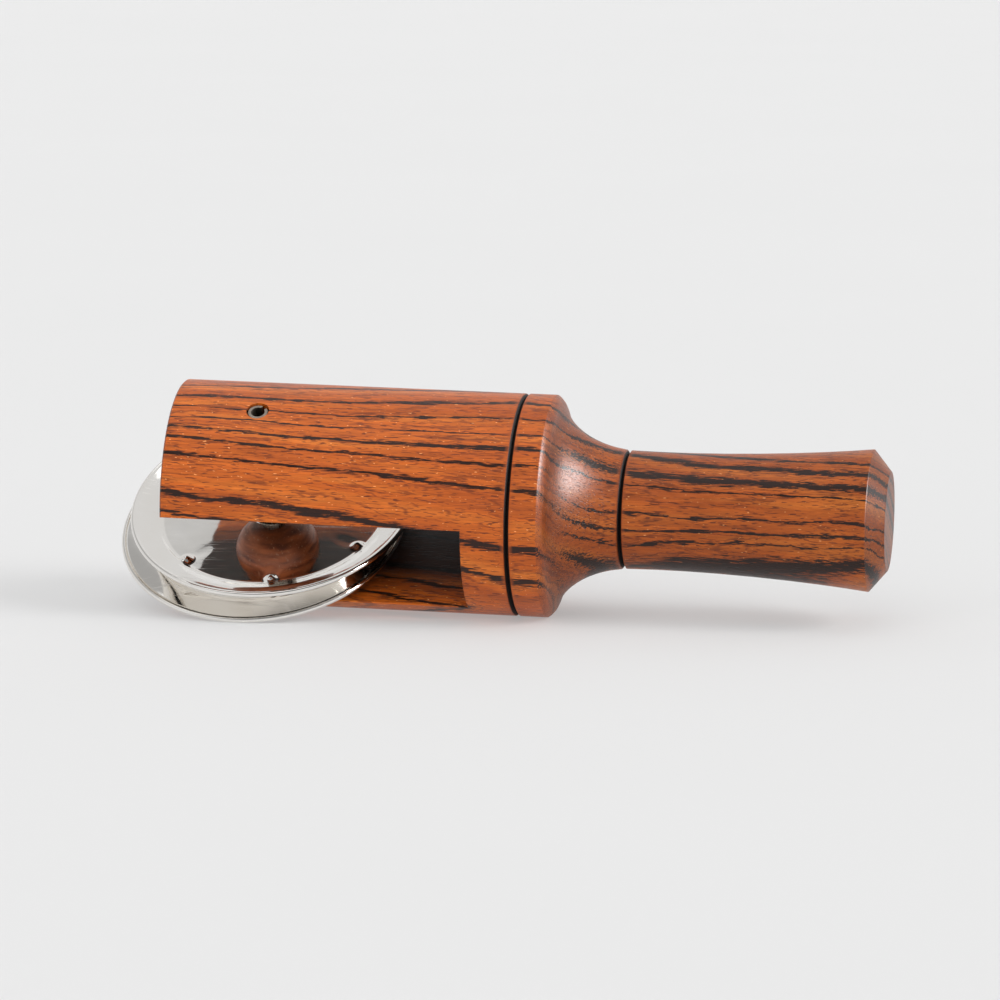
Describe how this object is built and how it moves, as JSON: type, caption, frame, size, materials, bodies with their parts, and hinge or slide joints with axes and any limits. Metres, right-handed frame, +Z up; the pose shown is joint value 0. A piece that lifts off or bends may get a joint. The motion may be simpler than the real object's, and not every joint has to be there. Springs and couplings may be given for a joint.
{
  "type": "hand jingle",
  "caption": "Turned hardwood hand jingle: a slotted cylindrical head carries loose pressed jingles on a spring pin, and a coved neck runs into a flared handle.",
  "frame": {"origin": "centre of the bounding box in X and Y, on the surface that the object lies on", "axes": "+Z up and +X along the turned axis towards the handle's end. The object lies rolled 34 degrees about X, with its mouth raised by about 1 degree, so the pin leans towards -Y at the top."},
  "size_m": [0.137, 0.0452, 0.0401],
  "materials": {
    "hardwood": "satin",
    "bead_wood": "satin",
    "pin_steel": "dull",
    "nickel_plate": "polished"
  },
  "bodies": {
    "body": {"wooden_body": "hardwood", "spring_pin": "pin_steel", "spacer_bead": "bead_wood"},
    "lower_jingle": {"lower_jingle": "nickel_plate"},
    "upper_jingle": {"upper_jingle": "nickel_plate"}
  },
  "joints": [
    {"name": "lower_jingle_slide", "type": "slide", "parent": "body", "child": "lower_jingle", "axis": [0.0137, -0.5592, 0.8289], "range_m": [0, 0.0014]},
    {"name": "upper_jingle_slide", "type": "slide", "parent": "lower_jingle", "child": "upper_jingle", "axis": [0.0137, -0.5592, 0.8289], "range_m": [0, 0.0014]}
  ]
}
